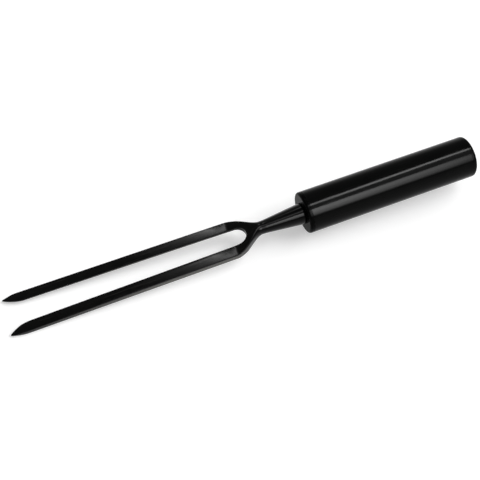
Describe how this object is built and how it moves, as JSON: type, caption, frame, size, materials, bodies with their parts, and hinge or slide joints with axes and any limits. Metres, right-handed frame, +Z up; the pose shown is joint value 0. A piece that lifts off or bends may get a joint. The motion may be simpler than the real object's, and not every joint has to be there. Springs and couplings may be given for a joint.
{
  "type": "carving fork",
  "caption": "Straight carving fork: long flat pointed tines joined in a smooth Y, a conical round shank, and a plain round hollow handle, all black.",
  "frame": {"origin": "on the handle's axis, at the front end of the handle tube, where the flange of the front plug seats", "axes": "+X along the handle towards its butt, so the tips point to -X; +Y across both tines; +Z up, square to the tines' flat upper faces"},
  "size_m": [0.3245, 0.0304, 0.0286],
  "materials": {
    "black_forging": "black coated forged steel, semi-gloss",
    "black_plug": "black anodised aluminium, turned, gloss",
    "black_handle": "black anodised aluminium, polished, gloss",
    "plain_steel": "plain steel"
  },
  "bodies": {
    "root": {"fork_head": "black_forging", "front_plug": "black_plug", "handle_tube": "black_handle", "end_cap": "black_plug", "tang_washer": "plain_steel", "tang_nut": "plain_steel"}
  },
  "joints": []
}
